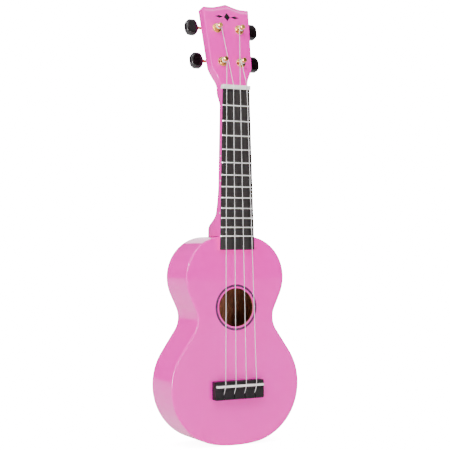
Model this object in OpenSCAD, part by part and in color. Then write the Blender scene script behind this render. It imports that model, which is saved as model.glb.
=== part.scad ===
// Soprano ukulele with geared tuning machines.
// X runs across the instrument, Z up the neck, and Y from the front to the back.
// The origin is on the centre line, where the nut's fingerboard edge meets the soundboard's plane.

/* [Body] */
// Half width across the lower bout
lower_half = 83.4; // [82:0.1:84]
// Height of the widest place of the lower bout
lower_z = -347.4; // [-348:0.2:-345]
// Radius of the lower bout's side
lower_r = 68.5; // [67.5:0.1:69]
// Height of the tail's lowest point
tail_z = -417; // [-418:0.5:-416.5]
// Half width at the waist
waist_half = 49.6; // [48:0.1:51]
// Height of the waist
waist_z = -268.4; // [-270:0.2:-266]
// Radius of the waist's hollow
waist_r = 27; // [24:0.5:30]
// Half width across the upper bout
upper_half = 64; // [62:0.1:65]
// Height of the widest place of the upper bout
upper_z = -220.7; // [-222:0.1:-219]
// Radius of the upper bout
upper_r = 48.2; // [47:0.1:49]
// Depth of the body from front to back
body_depth = 58; // [54:0.5:61]
// Thickness of the soundboard and of the back
plate_t = 2; // [1.8:0.1:2.6]
// Thickness of the bent sides
side_t = 1.8; // [1.5:0.1:2.4]
// Radius of the sound hole
hole_r = 22.6; // [21:0.1:23.5]
// Height of the sound hole's centre
hole_z = -256; // [-258:0.5:-254]
// Outer radius of the rosette ring
rosette_r = 27; // [26:0.1:28]
// Width of the rosette ring
rosette_w = 2.6; // [1.5:0.1:2.8]

/* [Neck] */
// Scale length from the nut to the octave's double
scale_len = 345; // [340:1:350]
// Width of the fingerboard at the nut
nut_w = 35.9; // [34:0.1:38]
// Width of the fingerboard at the twelfth fret
octave_w = 44.7; // [43:0.1:47]
// Length of the fingerboard
board_len = 188.6; // [186:0.2:190]
// Thickness of the fingerboard
board_t = 4.3; // [3.5:0.1:5]
// Height of a fret above the fingerboard
fret_h = 0.8; // [0.7:0.1:1.2]
// Number of frets
fret_count = 12; // [12:1:12]
// Depth of the neck's shaft behind the fingerboard, at the nut
shaft_depth = 13; // [12:0.5:15]
// Length of the nut along the neck
nut_len = 4.8; // [4:0.1:5]
// Height of the nut
nut_h = 6.8; // [6.5:0.1:7.2]

/* [Headstock] */
// Angle at which the headstock leans back
tilt = 12; // [10:0.1:15]
// Length of the headstock's face at its corners
head_len = 98; // [96:0.5:100]
// How far the peak stands above the corners
peak_h = 5.1; // [3:0.1:6]
// Half width of the headstock above its shoulders
shoulder_half = 26.8; // [26:0.1:28]
// Half width of the headstock at its top corners
corner_half = 30.6; // [30:0.1:31.5]
// Thickness of the headstock
head_t = 14.5; // [13:0.5:15]

/* [Strings] */
// Spacing of the strings at the nut
nut_gap = 8.9; // [8.5:0.1:9.2]
// Spacing of the strings at the saddle
saddle_gap = 13.5; // [13:0.1:14]
// Radius of a string
string_r = 0.35; // [0.3:0.05:0.4]
// Height of the strings' centres above the soundboard's plane, at the nut
nut_action = 6.2; // [6.1:0.1:6.4]
// Height of the strings' centres above the soundboard's plane, at the saddle
saddle_action = 11.5; // [11.3:0.1:11.7]
// Height of the saddle's centre line
saddle_z = -346.7; // [-347.5:0.1:-346]
// Length of the bridge across the body
bridge_len = 64; // [62:0.5:66]
// Thickness of the bridge
bridge_t = 7.5; // [7:0.1:8]

/* [Tuning machines] */
// Distance of the lower posts from the centre line
low_post_x = 12.2; // [12:0.1:13]
// Place of the lower posts along the headstock
low_post_s = 29.3; // [28:0.1:31]
// Distance of the upper posts from the centre line
high_post_x = 14.9; // [14:0.1:15.5]
// Place of the upper posts along the headstock
high_post_s = 71.3; // [70:0.1:73]
// Teeth on each gear wheel
gear_teeth = 14; // [14:1:14]
// Module of the gear teeth
gear_module = 0.6; // [0.6:0.01:0.62]
// Height of a button
button_h = 19; // [15:0.5:19.5]
// Length of a button along its shaft
button_len = 15.5; // [13:0.5:16]
// Thickness of a button
button_t = 9.2; // [8:0.1:9.6]

/* [Hidden] */
tuner_parts = ["plate", "bushing", "worm", "button", "post", "gear", "gear_screw"];

pink = [1, 0.47, 0.78];
dark_wood = [0.14, 0.1, 0.09];
bare_wood = [0.78, 0.6, 0.4];
bone = [0.95, 0.95, 0.92];
gold = [0.83, 0.66, 0.3];
silver = [0.8, 0.8, 0.82];
black = [0.05, 0.05, 0.05];

top_z = upper_z + upper_r;
back_y = body_depth - plate_t;
lining_w = 5;
lining_h = 6;
block_half = 25;
block_len = 20;
tail_half = 22;
brace_w = 6;
brace_h = 8;
soundboard_brace_z = [-222, -288];
back_brace_z = [-225, -345];
patch_half = 36;
patch_low = -366;
patch_len = 30;
patch_t = 1.8;
rosette_h = 0.15;
board_end = -board_len;
slot_w = 0.6;
slot_depth = 1.8;
fret_inset = 0.7;
dot_r = 1;
dot_depth = 1.5;
dot_y = -2.1;
dot_frets = [5, 7, 10];
heel_start = -112;
heel_swell_len = 46;
heel_swell = 0.45;
heel_turn = -145;
heel_turn_len = 19;
shaft_swell = 2.5;
neck_power = 2.1;
face_y = 0.4;
face_z = 5;

// The ornament's pieces are diamonds, given as [half length, half width]
ornament_s = 86.5;
ornament_h = 0.3;
ornament_middle = [4, 5.2];
ornament_side = [5.4, 1.7];
ornament_side_x = 10.4;

// Bridge, saddle and the strings' way through them
bridge_top = -341;
bridge_low = -362.4;
bridge_corner = 1.5;
bridge_slot_start = -352.8;
bridge_slot_w = 1.2;
bridge_slot_floor = 1.4;
saddle_half = 30.6;
saddle_w = 2.5;
saddle_foot = 2.5;
saddle_clear = 0.05;
saddle_slope = 30;
knot_y = -2.6;
knot_z = bridge_low + 1.5;
knot_r = 1.2;
pocket_deep = 2.6;
string_rise = [-7.35, -354.6];
wrap_clear = 2.6;
nut_slot_w = 1;

// Tuning machine sizes; depths are measured from the headstock's face, backwards
post_x = [-low_post_x, -high_post_x, high_post_x, low_post_x];
post_s = [low_post_s, high_post_s, high_post_s, low_post_s];
post_r = 2.75;
waist_post_r = 2.4;
post_top = -11;
post_head_r = 2.9;
post_head_end = -8.4;
post_waist_d = [-7.6, -4.6];
post_shoulder_d = -4.1;
cross_hole_d = -9.3;
cross_hole_r = 0.6;
sleeve_d = [-7.3, -4.9];
bushing_bore = 2.8;
bushing_r = 4;
bushing_deep = 6;
flange_r = 5.8;
flange_t = 2.4;
flange_edge = 0.8;
flange_top_r = 4.3;
mount_plate_t = 1;
gear_d = head_t + 2.2;
gear_t = 3;
worm_d = gear_d + gear_t / 2;
gear_r = gear_module * gear_teeth / 2;
gear_tip = gear_r + 0.5;
gear_root = gear_r - 0.72;
stub_r = 1.5;
screw_r = 0.8;
screw_head = [2.2, 1.2];
screw_slot = 0.6;
worm_pitch = PI * gear_module;
worm_axis_s = gear_r + 2;
worm_core = 1.2;
worm_tip = 2.45;
worm_half = 3;
shaft_r = 1.7;
shaft_gap = 0.05;
ear_in = 3.6;
ear_t = 1.2;
ear_half = 2.8;
plate_half = 6;
plate_low = -9.5;
plate_high = 13.7;
mount_screw_s = [-7.3, 11.5];
mount_screw_r = 0.9;
mount_screw_len = 7;
mount_head = [1.7, 0.9];
button_in = [29.8, 32, 32, 29.8];
button_fit = 9;
button_corner = 4.8;
fit_gap = 0.02;

// ---------- Outlines ----------

function arc(c, r, a0, a1, steps) =
    [for (i = [0:steps]) let(a = a0 + (a1 - a0) * i / steps) [c[0] + r * cos(a), c[1] + r * sin(a)]];

// Angle at which a straight side leaves the circle at c1 for the hollow circle at c2
function tangent_angle(c1, r1, c2, r2, turn) =
    let(v = c2 - c1) atan2(v[1], v[0]) + turn * acos((r1 + r2) / norm(v));

// Right half of the body's outline, from the tail up to the neck, moved inwards by inset
function half_outline(inset) =
    let(
        low_c = [lower_half - lower_r, lower_z],
        up_c = [upper_half - upper_r, upper_z],
        waist_c = [waist_half + waist_r, waist_z],
        k = tail_z - lower_z,
        tail_r = (lower_r * lower_r - k * k - low_c[0] * low_c[0]) / (2 * (k + lower_r)),
        tail_c = [0, tail_z + tail_r],
        tail_a = atan2(low_c[1] - tail_c[1], low_c[0]),
        low_a = tangent_angle(low_c, lower_r, waist_c, waist_r, -1),
        up_a = tangent_angle(up_c, upper_r, waist_c, waist_r, 1)
    )
    concat(
        arc(tail_c, tail_r - inset, -90, tail_a, 2),
        [for (p = arc(low_c, lower_r - inset, tail_a, 0, 12)) if (p[0] > low_c[0] + 5) p],
        arc(low_c, lower_r - inset, low_a / 6, low_a, 5),
        arc(waist_c, waist_r + inset, low_a + 180, 180, 4),
        arc(waist_c, waist_r + inset, 175, up_a + 180, 2),
        arc(up_c, upper_r - inset, up_a, 0, 4),
        arc(up_c, upper_r - inset, 7.5, 90, 11),
        [[0, top_z - inset]]
    );

function mirrored(pts) = [for (i = [len(pts) - 1:-1:0]) [-pts[i][0], pts[i][1]]];

function reversed(pts) = [for (i = [len(pts) - 1:-1:0]) pts[i]];

module body_outline(inset) {
    half = half_outline(inset);
    rest = [for (i = [1:len(half) - 2]) half[i]];
    polygon(concat(half, mirrored(rest)));
}

// Extrudes an outline drawn in X and Z from y = y0 back to y = y1
module slab(y0, y1) {
    translate([0, y1, 0]) rotate([90, 0, 0]) linear_extrude(y1 - y0) children();
}

// A strip that follows the right-hand side of the body
module side_band(y0, y1, inset0, inset1) {
    slab(y0, y1) polygon(concat(half_outline(inset0), reversed(half_outline(inset1))));
}

module hole_y(x, z, r, y0, y1) {
    translate([x, y0, z]) rotate([-90, 0, 0]) cylinder(h = y1 - y0, r = r, $fn = 48);
}

// ---------- Body ----------

module soundboard() {
    color(pink) difference() {
        slab(0, plate_t) body_outline(0);
        hole_y(0, hole_z, hole_r, -1, plate_t + 1);
    }
}

module back() {
    color(pink) slab(back_y, body_depth) body_outline(0);
}

module side_right() {
    color(pink) side_band(plate_t, back_y, 0, side_t);
}

module side_left() {
    mirror([1, 0, 0]) side_right();
}

module end_block(half, z0, z1) {
    color(bare_wood) intersection() {
        slab(plate_t, back_y) body_outline(side_t);
        translate([-half, 0, z0]) cube([2 * half, body_depth, z1 - z0]);
    }
}

module neck_block() {
    end_block(block_half, top_z - side_t - block_len, top_z);
}

module tail_block() {
    end_block(tail_half, tail_z - 1, tail_z + side_t + block_len);
}

module lining(y0) {
    color(bare_wood) difference() {
        side_band(y0, y0 + lining_h, side_t, side_t + lining_w);
        translate([-1, y0 - 1, top_z - side_t - block_len]) cube([block_half + 1, lining_h + 2, 40]);
        translate([-1, y0 - 1, tail_z - 10]) cube([tail_half + 1, lining_h + 2, 10 + side_t + block_len]);
    }
}

module cross_bars(heights, y0) {
    color(bare_wood) intersection() {
        slab(y0, y0 + brace_h) body_outline(side_t + lining_w);
        union() {
            for (z = heights)
                translate([-90, y0 - 1, z - brace_w / 2]) cube([180, brace_h + 2, brace_w]);
        }
    }
}

module bridge_patch() {
    color(bare_wood) translate([-patch_half, plate_t, patch_low]) cube([2 * patch_half, patch_t, patch_len]);
}

module rosette() {
    color([0.35, 0.05, 0.3]) difference() {
        hole_y(0, hole_z, rosette_r, -rosette_h, 0);
        hole_y(0, hole_z, rosette_r - rosette_w, -1, 1);
    }
}

// ---------- Neck ----------

function board_half(z) = (nut_w - (octave_w - nut_w) * z / (scale_len / 2)) / 2;

function fret_z(n) = -scale_len * (1 - pow(2, -n / 12));

// Depth of the neck behind the fingerboard; it swells into the heel near the body
function neck_depth(z) =
    let(
        shaft = shaft_depth + shaft_swell * min(0, max(z, heel_start)) / heel_start,
        swell = pow(min(1, max(0, (heel_start - z) / heel_swell_len)), 1.5),
        turn = smooth((heel_turn - z) / heel_turn_len)
    )
    shaft + (body_depth - 1 - shaft) * (heel_swell * swell + (1 - heel_swell) * turn);

function neck_ring(z, steps) =
    [for (i = [0:steps])
        let(a = 180 * i / steps, e = 2 / neck_power)
        [-board_half(z) * sign(cos(a)) * pow(abs(cos(a)), e), neck_depth(z) * pow(abs(sin(a)), e), z]];

// A ring cut along the headstock's sloping joint
function joint_ring(steps) =
    [for (p = neck_ring(0, steps)) [p[0], p[1], face_z - (p[1] - face_y) * tan(tilt)]];

module loft(rings) {
    n = len(rings[0]);
    last = len(rings) - 1;
    polyhedron(
        points = [for (r = rings) for (p = r) p],
        faces = concat(
            [[for (i = [n - 1:-1:0]) i]],
            [for (k = [0:last - 1], i = [0:n - 1], half = [0, 1])
                let(a = k * n + i, b = k * n + (i + 1) % n)
                half == 0 ? [a, b, b + n] : [a, b + n, a + n]],
            [[for (i = [0:n - 1]) last * n + i]]
        )
    );
}

module neck() {
    stations = [top_z, -167, -164, -161, -158, -155, -152, -149, -146, -143, -136, -128, -120, -112, 0];
    color(pink) loft(concat([for (z = stations) neck_ring(z, 24)], [joint_ring(24)]));
}

module fret_slot(n) {
    z = fret_z(n);
    half = board_half(z) - fret_inset;
    translate([-half, -board_t, z - slot_w / 2]) cube([2 * half, slot_depth, slot_w]);
}

module fret(n) {
    z = fret_z(n);
    half = board_half(z) - fret_inset;
    fret_slot(n);
    difference() {
        translate([-half, -board_t, z]) rotate([0, 90, 0]) cylinder(h = 2 * half, r = fret_h, $fn = 24);
        translate([-half - 1, -board_t, z - 5]) cube([2 * half + 2, 10, 10]);
    }
}

module frets() {
    color(silver) {
        for (n = [1:fret_count]) fret(n);
    }
}

module side_dot(n) {
    z = (fret_z(n) + fret_z(n - 1)) / 2;
    half = board_half(z);
    translate([-half - 0.2, dot_y, z]) rotate([0, 90, 0]) cylinder(h = dot_depth, r = dot_r, $fn = 24);
}

module side_dots() {
    color(bone) {
        for (n = dot_frets) side_dot(n);
    }
}

module fingerboard() {
    nut_half = board_half(0);
    end_half = board_half(board_end);
    color(dark_wood) difference() {
        slab(-board_t, 0)
            polygon([[-nut_half, 0], [-end_half, board_end], [end_half, board_end], [nut_half, 0]]);
        for (n = [1:fret_count]) fret_slot(n);
        for (n = dot_frets) side_dot(n);
    }
}

module nut() {
    color(bone) difference() {
        translate([-nut_w / 2, -nut_h, 0]) cube([nut_w, nut_h, nut_len]);
        for (i = [0:3])
            translate([string_x(i, nut_gap) - nut_slot_w / 2, -nut_h - 1, -1])
                cube([nut_slot_w, nut_h + 1 + string_r - nut_action, nut_len + 2]);
    }
}

// ---------- Headstock ----------

// Places children in the headstock's own frame: X across, Y behind its face, Z along it
module on_head() {
    translate([0, face_y, face_z]) rotate([-tilt, 0, 0]) children();
}

function smooth(u) = let(t = min(1, max(0, u))) t * t * (3 - 2 * t);

function head_half(s) =
    nut_w / 2 + (shoulder_half - nut_w / 2) * smooth((s - 1) / 26)
    + (corner_half - shoulder_half) * max(0, s - 27) / (head_len - 27);

function head_top(x) = head_len + peak_h * pow(1 - min(1, abs(x) / 20), 1.3);

function head_right() = concat(
    [for (s = [0, 3, 6, 9, 12, 15, 18, 21, 24, 27, head_len]) [head_half(s), s]],
    [for (x = [20, 16, 12, 8, 5, 2]) [x, head_top(x)]]
);

module headstock() {
    color(pink) on_head() difference() {
        slab(0, head_t) polygon(concat(head_right(), [[0, head_top(0)]], mirrored(head_right())));
        for (i = [0:3]) hole_y(post_x[i], post_s[i], bushing_r, -1, head_t + 1);
    }
}

module diamond(x, half) {
    s = ornament_s;
    slab(-ornament_h, 0) polygon([[x - half[0], s], [x, s - half[1]], [x + half[0], s], [x, s + half[1]]]);
}

module headstock_ornament() {
    color(black) on_head() {
        diamond(0, ornament_middle);
        diamond(-ornament_side_x, ornament_side);
        diamond(ornament_side_x, ornament_side);
    }
}

// ---------- Bridge and strings ----------

function string_x(i, gap) = (i - 1.5) * gap;

function rounded_rect(x0, z0, x1, z1, r) = concat(
    arc([x1 - r, z0 + r], r, -90, 0, 6), arc([x1 - r, z1 - r], r, 0, 90, 6),
    arc([x0 + r, z1 - r], r, 90, 180, 6), arc([x0 + r, z0 + r], r, 180, 270, 6)
);

module saddle_block(low, high) {
    translate([-saddle_half, -high, saddle_z - saddle_w / 2])
        cube([2 * saddle_half, high - low, saddle_w]);
}

module bridge() {
    color(black) difference() {
        slab(-bridge_t, 0)
            polygon(rounded_rect(-bridge_len / 2, bridge_low, bridge_len / 2, bridge_top, bridge_corner));
        saddle_block(saddle_foot, bridge_t + 1);
        for (i = [0:3]) {
            x = string_x(i, saddle_gap);
            translate([x - bridge_slot_w / 2, -bridge_t - 1, bridge_low - 1])
                cube([bridge_slot_w, bridge_t + 1 - bridge_slot_floor, bridge_slot_start - bridge_low + 1]);
            translate([x, knot_y, bridge_low - 1])
                cylinder(h = pocket_deep + 1, r = knot_r + 0.3, $fn = 24);
        }
    }
}

module saddle() {
    crown = saddle_action - string_r - saddle_clear;
    color(bone) difference() {
        saddle_block(saddle_foot, crown);
        // behind its crown the saddle slopes down with the strings
        translate([-saddle_half - 1, -crown, saddle_z]) rotate([saddle_slope, 0, 0])
            translate([0, -saddle_w, -2 * saddle_w]) cube([2 * saddle_half + 2, saddle_w, 2 * saddle_w]);
    }
}

// A tube whose rings lie square to Z; the last value of each point is its radius
module string_tube(points) {
    loft([for (p = points)
        [for (a = [22.5:45:359]) [p[0] - p[3] * cos(a), p[1] + p[3] * sin(a), p[2]]]]);
}

function on_face(x, s, d) =
    [x, face_y + s * sin(tilt) + d * cos(tilt), face_z + s * cos(tilt) - d * sin(tilt)];

nut_s = (-nut_action - face_y) * sin(tilt) + (nut_len - face_z) * cos(tilt);
nut_d = (-nut_action - face_y) * cos(tilt) - (nut_len - face_z) * sin(tilt);
wrap_r = waist_post_r + string_r + fit_gap;

// Where a string stops short of its windings, along the line that touches them
function string_end(i, back_off) =
    let(
        from_post = [string_x(i, nut_gap) - post_x[i], nut_s - post_s[i]],
        span = norm(from_post),
        turn = post_x[i] < 0 ? 1 : -1,
        a = atan2(from_post[1], from_post[0]) + turn * acos(wrap_r / span),
        touch = [post_x[i] + wrap_r * cos(a), post_s[i] + wrap_r * sin(a)],
        nut_point = [string_x(i, nut_gap), nut_s],
        way = (nut_point - touch) / norm(nut_point - touch),
        stop = touch + back_off * way
    )
    on_face(stop[0], stop[1], nut_d);

module string_run(i) {
    xs = string_x(i, saddle_gap);
    xn = string_x(i, nut_gap);
    knot = [for (a = [-75:30:75]) [xs, knot_y, knot_z + knot_r * sin(a), knot_r * cos(a)]];
    stop = string_end(i, wrap_clear);
    color([0.93, 0.93, 0.9]) string_tube(concat(knot, [
        [xs, string_rise[0], string_rise[1], string_r],
        [xs, -saddle_action, saddle_z, string_r],
        [xn, -nut_action, nut_len, string_r],
        [stop[0], stop[1], stop[2], string_r]
    ]));
}

module string_wrap(i) {
    color([0.93, 0.93, 0.9])
        ring_on_post(i, waist_post_r + fit_gap, wrap_r + string_r, sleeve_d[0], sleeve_d[1]);
}

// ---------- Tuning machines ----------

// A ring around post i, between two depths
module ring_on_post(i, r_in, r_out, d0, d1) {
    on_head() difference() {
        hole_y(post_x[i], post_s[i], r_out, d0, d1);
        hole_y(post_x[i], post_s[i], r_in, d0 - 1, d1 + 1);
    }
}

// Turned about post i: a profile given as [radius, depth] points
module turned(i, profile) {
    on_head() translate([post_x[i], 0, post_s[i]]) rotate([-90, 0, 0])
        rotate_extrude($fn = 48) polygon(profile);
}

module tuner_bushing(i) {
    color(gold) turned(i, [
        [bushing_bore, -flange_t], [flange_top_r, -flange_t], [flange_r, -flange_edge], [flange_r, 0],
        [bushing_r - fit_gap, 0], [bushing_r - fit_gap, bushing_deep], [bushing_bore, bushing_deep]
    ]);
}

module tuner_post(i) {
    color(gold) difference() {
        turned(i, [
            [0, post_top], [post_head_r - 0.5, post_top], [post_head_r, post_top + 0.5],
            [post_head_r, post_head_end], [waist_post_r, post_waist_d[0]], [waist_post_r, post_waist_d[1]],
            [post_r, post_shoulder_d], [post_r, gear_d - 0.2], [stub_r, gear_d - 0.2],
            [stub_r, gear_d + gear_t], [0, gear_d + gear_t]
        ]);
        on_head() hole_y(post_x[i], post_s[i], screw_r + fit_gap, gear_d - 1, gear_d + gear_t + 1);
        on_head() translate([post_x[i], cross_hole_d, post_s[i] - 5])
            cylinder(h = 10, r = cross_hole_r, $fn = 24);
    }
}

module tuner_gear_screw(i) {
    color(gold) on_head() difference() {
        union() {
            hole_y(post_x[i], post_s[i], screw_r, gear_d - 0.5, gear_d + gear_t);
            hole_y(post_x[i], post_s[i], screw_head[0], gear_d + gear_t, gear_d + gear_t + screw_head[1]);
        }
        translate([post_x[i] - 3, gear_d + gear_t + screw_head[1] / 2, post_s[i] - screw_slot / 2])
            cube([6, 2, screw_slot]);
    }
}

// One tooth's four corners, as [radius, half width] pairs turned to the tooth's angle
function tooth(a) =
    [for (c = [[gear_root, -0.5], [gear_tip, -0.24], [gear_tip, 0.24], [gear_root, 0.5]])
        let(b = a + c[1] / c[0] * 180 / PI) [c[0] * cos(b), c[0] * sin(b)]];

module tuner_gear(i) {
    step = 360 / gear_teeth;
    outline = [for (t = [0:gear_teeth - 1]) for (p = tooth(90 + (t + 0.5) * step)) p];
    color(gold) on_head() difference() {
        translate([post_x[i], 0, post_s[i]]) slab(gear_d, gear_d + gear_t) polygon(outline);
        hole_y(post_x[i], post_s[i], stub_r + fit_gap, gear_d - 1, gear_d + gear_t + 1);
    }
}

// Rings of the worm's thread, wound about X, with its middle ring facing the gear wheel
function thread_rings() =
    let(turns = floor(2 * worm_half / worm_pitch), steps = 20)
    [for (k = [0:turns * steps])
        let(f = k / steps - turns / 2, a = 360 * f - 90, x = f * worm_pitch)
        [for (c = [[-0.33, worm_core - 0.2], [-0.18, worm_tip], [0.18, worm_tip], [0.33, worm_core - 0.2]])
            [x + c[0], c[1] * cos(a), c[1] * sin(a)]]];

module rod_x(x0, x1, r) {
    translate([min(x0, x1), 0, 0]) rotate([0, 90, 0]) cylinder(h = abs(x1 - x0), r = r, $fn = 32);
}

// Moves children from the origin to the middle of worm i
module at_worm(i) {
    on_head() translate([post_x[i], worm_d, post_s[i] + worm_axis_s]) children();
}

module tuner_worm(i) {
    out = sign(post_x[i]);
    reach = button_in[i] + button_fit - abs(post_x[i]);
    color(gold) at_worm(i) {
        rod_x(-out * (ear_in + ear_t + 0.6), -out * (worm_half + 0.3), shaft_r);
        rod_x(-out * (worm_half + 0.3), out * (worm_half + 0.3), worm_core);
        rod_x(out * (worm_half + 0.3), out * reach, shaft_r);
        loft(thread_rings());
    }
}

module tuner_button(i) {
    out = sign(post_x[i]);
    c = button_corner;
    h = button_h / 2;
    x0 = button_in[i] - abs(post_x[i]);
    x1 = x0 + button_len;
    outline = [[x0 + 3, -h], [x1 - 3.5, -h], [x1, -h + c], [x1, h - c],
               [x1 - 3.5, h], [x0 + 3, h], [x0, h - c - 1], [x0, -h + c + 1]];
    color(black) at_worm(i) difference() {
        mirror([out < 0 ? 1 : 0, 0, 0]) slab(-button_t / 2, button_t / 2) polygon(outline);
        rod_x(out * (x0 - 1), out * (x0 + button_fit + 0.2), shaft_r + fit_gap);
    }
}

module mount_holes(i, r, d0, d1) {
    for (s = mount_screw_s) hole_y(post_x[i], post_s[i] + s, r, d0, d1);
}

module ear(i, x) {
    difference() {
        translate([x - ear_t / 2, head_t, post_s[i] + worm_axis_s - ear_half])
            cube([ear_t, worm_d + ear_half - head_t, 2 * ear_half]);
        translate([x - ear_t, worm_d, post_s[i] + worm_axis_s]) rod_x(0, 2 * ear_t, shaft_r + shaft_gap);
    }
}

module tuner_plate(i) {
    color(gold) on_head() {
        difference() {
            translate([post_x[i] - plate_half, head_t, post_s[i] + plate_low])
                cube([2 * plate_half, mount_plate_t, plate_high - plate_low]);
            hole_y(post_x[i], post_s[i], post_r + 0.15, head_t - 1, head_t + 2);
            mount_holes(i, mount_screw_r + 0.1, head_t - 1, head_t + 2);
        }
        ear(i, post_x[i] - ear_in - ear_t / 2);
        ear(i, post_x[i] + ear_in + ear_t / 2);
    }
}

module tuner_mount_screws() {
    color(gold) on_head() {
        for (i = [0:3]) {
            mount_holes(i, mount_screw_r, head_t - mount_screw_len, head_t + mount_plate_t);
            mount_holes(i, mount_head[0], head_t + mount_plate_t, head_t + mount_plate_t + mount_head[1]);
        }
    }
}

// ---------- Output ----------

soundboard();
back();
side_left();
side_right();
neck_block();
tail_block();
mirror([1, 0, 0]) lining(plate_t);  // front_lining_left
lining(plate_t);  // front_lining_right
mirror([1, 0, 0]) lining(back_y - lining_h);  // back_lining_left
lining(back_y - lining_h);  // back_lining_right
cross_bars(soundboard_brace_z, plate_t);  // soundboard_braces
cross_bars(back_brace_z, back_y - brace_h);  // back_braces
bridge_patch();
rosette();
bridge();
saddle();
neck();
headstock();
headstock_ornament();
fingerboard();
frets();
side_dots();
nut();
tuner_mount_screws();
for (i = [0:3]) {
    string_run(i);
    string_wrap(i);
    tuner_plate(i);
    tuner_bushing(i);
    tuner_worm(i);
    tuner_button(i);
    tuner_post(i);
    tuner_gear(i);
    tuner_gear_screw(i);
}
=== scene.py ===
"""A pink soprano ukulele in a white studio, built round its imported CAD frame.

Lengths are in millimetres inside the mesh functions and become metres in new_piece().
X runs across the instrument, Z up the neck, and -Y is the front.
"""
import math

import bmesh
import bpy
from mathutils import Matrix, Vector


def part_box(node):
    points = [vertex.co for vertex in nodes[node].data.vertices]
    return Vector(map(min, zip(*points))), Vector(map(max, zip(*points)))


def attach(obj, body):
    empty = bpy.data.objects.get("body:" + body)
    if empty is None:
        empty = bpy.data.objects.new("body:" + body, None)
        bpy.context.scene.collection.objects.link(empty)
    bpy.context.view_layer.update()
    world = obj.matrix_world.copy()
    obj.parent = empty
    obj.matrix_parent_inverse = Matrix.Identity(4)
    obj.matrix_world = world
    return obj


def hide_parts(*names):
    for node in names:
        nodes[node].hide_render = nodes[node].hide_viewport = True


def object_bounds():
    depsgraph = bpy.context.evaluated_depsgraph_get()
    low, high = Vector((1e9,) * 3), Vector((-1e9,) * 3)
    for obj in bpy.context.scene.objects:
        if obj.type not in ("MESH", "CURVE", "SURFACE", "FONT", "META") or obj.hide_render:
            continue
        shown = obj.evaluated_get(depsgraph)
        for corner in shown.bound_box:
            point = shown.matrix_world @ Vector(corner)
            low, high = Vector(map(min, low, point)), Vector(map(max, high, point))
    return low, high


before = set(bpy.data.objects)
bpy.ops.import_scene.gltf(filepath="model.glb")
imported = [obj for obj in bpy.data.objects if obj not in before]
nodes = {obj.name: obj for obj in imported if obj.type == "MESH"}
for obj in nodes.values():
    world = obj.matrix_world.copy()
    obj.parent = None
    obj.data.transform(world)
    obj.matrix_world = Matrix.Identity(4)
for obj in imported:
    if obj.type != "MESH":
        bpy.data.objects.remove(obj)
cad_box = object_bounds()
MM = 0.001
TUNERS = (1, 2, 3, 4)


def box_mm(node):
    low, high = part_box(node)
    return low / MM, high / MM


# ---------- Sizes from the frame ----------

board_low, board_high = box_mm("soundboard")
LOWER_HALF = board_high.x
TAIL_Z, TOP_Z = board_low.z, board_high.z
PLATE_T = board_high.y
BODY_Y = box_mm("back")[1].y
BACK_Y = box_mm("back")[0].y
NUT_HALF = box_mm("nut")[1].x
NUT_H = -box_mm("nut")[0].y
NUT_LEN = box_mm("nut")[1].z
BOARD_T = -box_mm("fingerboard")[0].y
BRIDGE_LOW = box_mm("bridge")[0].z
BOARD_END = box_mm("fingerboard")[0].z
BOARD_END_HALF = box_mm("fingerboard")[1].x
FRET_TOP = -box_mm("frets")[0].y

# The body's arcs: half widths, heights and radii of the bouts and the waist
LOWER_Z, LOWER_R = -347.4, 68.5
WAIST_HALF, WAIST_Z, WAIST_R = 49.6, -268.4, 27.0
UPPER_HALF, UPPER_Z, UPPER_R = 64.0, -220.7, 48.2
SIDE_T = 1.8
HOLE_R, HOLE_Z = 22.6, -256.0
ROSETTE_W = 2.6
# The plates: their rounded edge, where the flat starts, the strip glued to the sides, the hole's edge
EDGE_R = 1.9
FLAT_INSET = EDGE_R + 0.3
GLUE_W = SIDE_T + 1
HOLE_RIM = 0.5
ROSETTE_H = 0.14

# Neck and headstock. FACE_Y and FACE_Z are where the headstock's tilted face starts, and a place
# along the headstock is measured up its face from there
TILT = math.radians(12.0)
SCALE_LEN = 345.0
FRET_COUNT = 12
FACE_Y, FACE_Z = 0.4, 5.0
HEAD_LEN, HEAD_T = 98.0, 14.5
PEAK_H, PEAK_HALF, PEAK_POWER, PEAK_START = 5.1, 20.0, 1.3, 60.0
SHOULDER_HALF, SHOULDER_AT, SHOULDER_LEN = 26.8, 27.0, 26.0
CORNER_HALF = 30.6
HEAD_TIP_R = 1.5
HEEL_START, HEEL_SWELL_LEN, HEEL_SWELL = -112.0, 46.0, 0.45
HEEL_TURN, HEEL_TURN_LEN = -145.0, 19.0
NECK_POWER = 2.1
SHAFT_DEPTH, SHAFT_SWELL = 13.0, 2.5
SLAB_FADE = 22.0
FILM = 0.12
FRET_HALF_W, FRET_END_GAP, FRET_SLOPE_LEN = 0.7, 0.7, 0.6

# A neck section's points: FRONT_RUNS steps across its flat front, and SIDE_POINTS down each side
FRONT_RUNS = 16
CORNER_STEPS = 4
SIDE_POINTS = 3 * CORNER_STEPS

# Strings
STRING_R = 0.3
NUT_GAP, SADDLE_GAP = 8.9, 13.5
NUT_ACTION = 6.2
SADDLE_ACTION = -box_mm("saddle")[0].y + STRING_R + 0.02
SADDLE_Z = -346.7
STRING_RISE = (-7.35, -354.6)
STRING_BEND = 0.7
KNOT_Y, KNOT_UP = -2.6, 1.5
WRAP_R, WRAP_TURNS, WRAP_PITCH = 2.77, 2.75, 0.84

# Tuning machines, in the headstock's frame: X across, depth behind the face, place along it
POST = {1: (-12.2, 29.3), 2: (-14.9, 71.3), 3: (14.9, 71.3), 4: (12.2, 29.3)}
WORM_DEPTH, WORM_AHEAD = 18.2, 6.2
BUTTON_HALF_H, BUTTON_HALF_T, BUTTON_CORNER, BUTTON_ROUND = 9.5, 4.6, 4.8, 2.5
BUSHING_BORE, BUSHING_SLEEVE, BUSHING_LEN = 2.8, 3.98, 6.0


# ---------- Materials ----------

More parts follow.
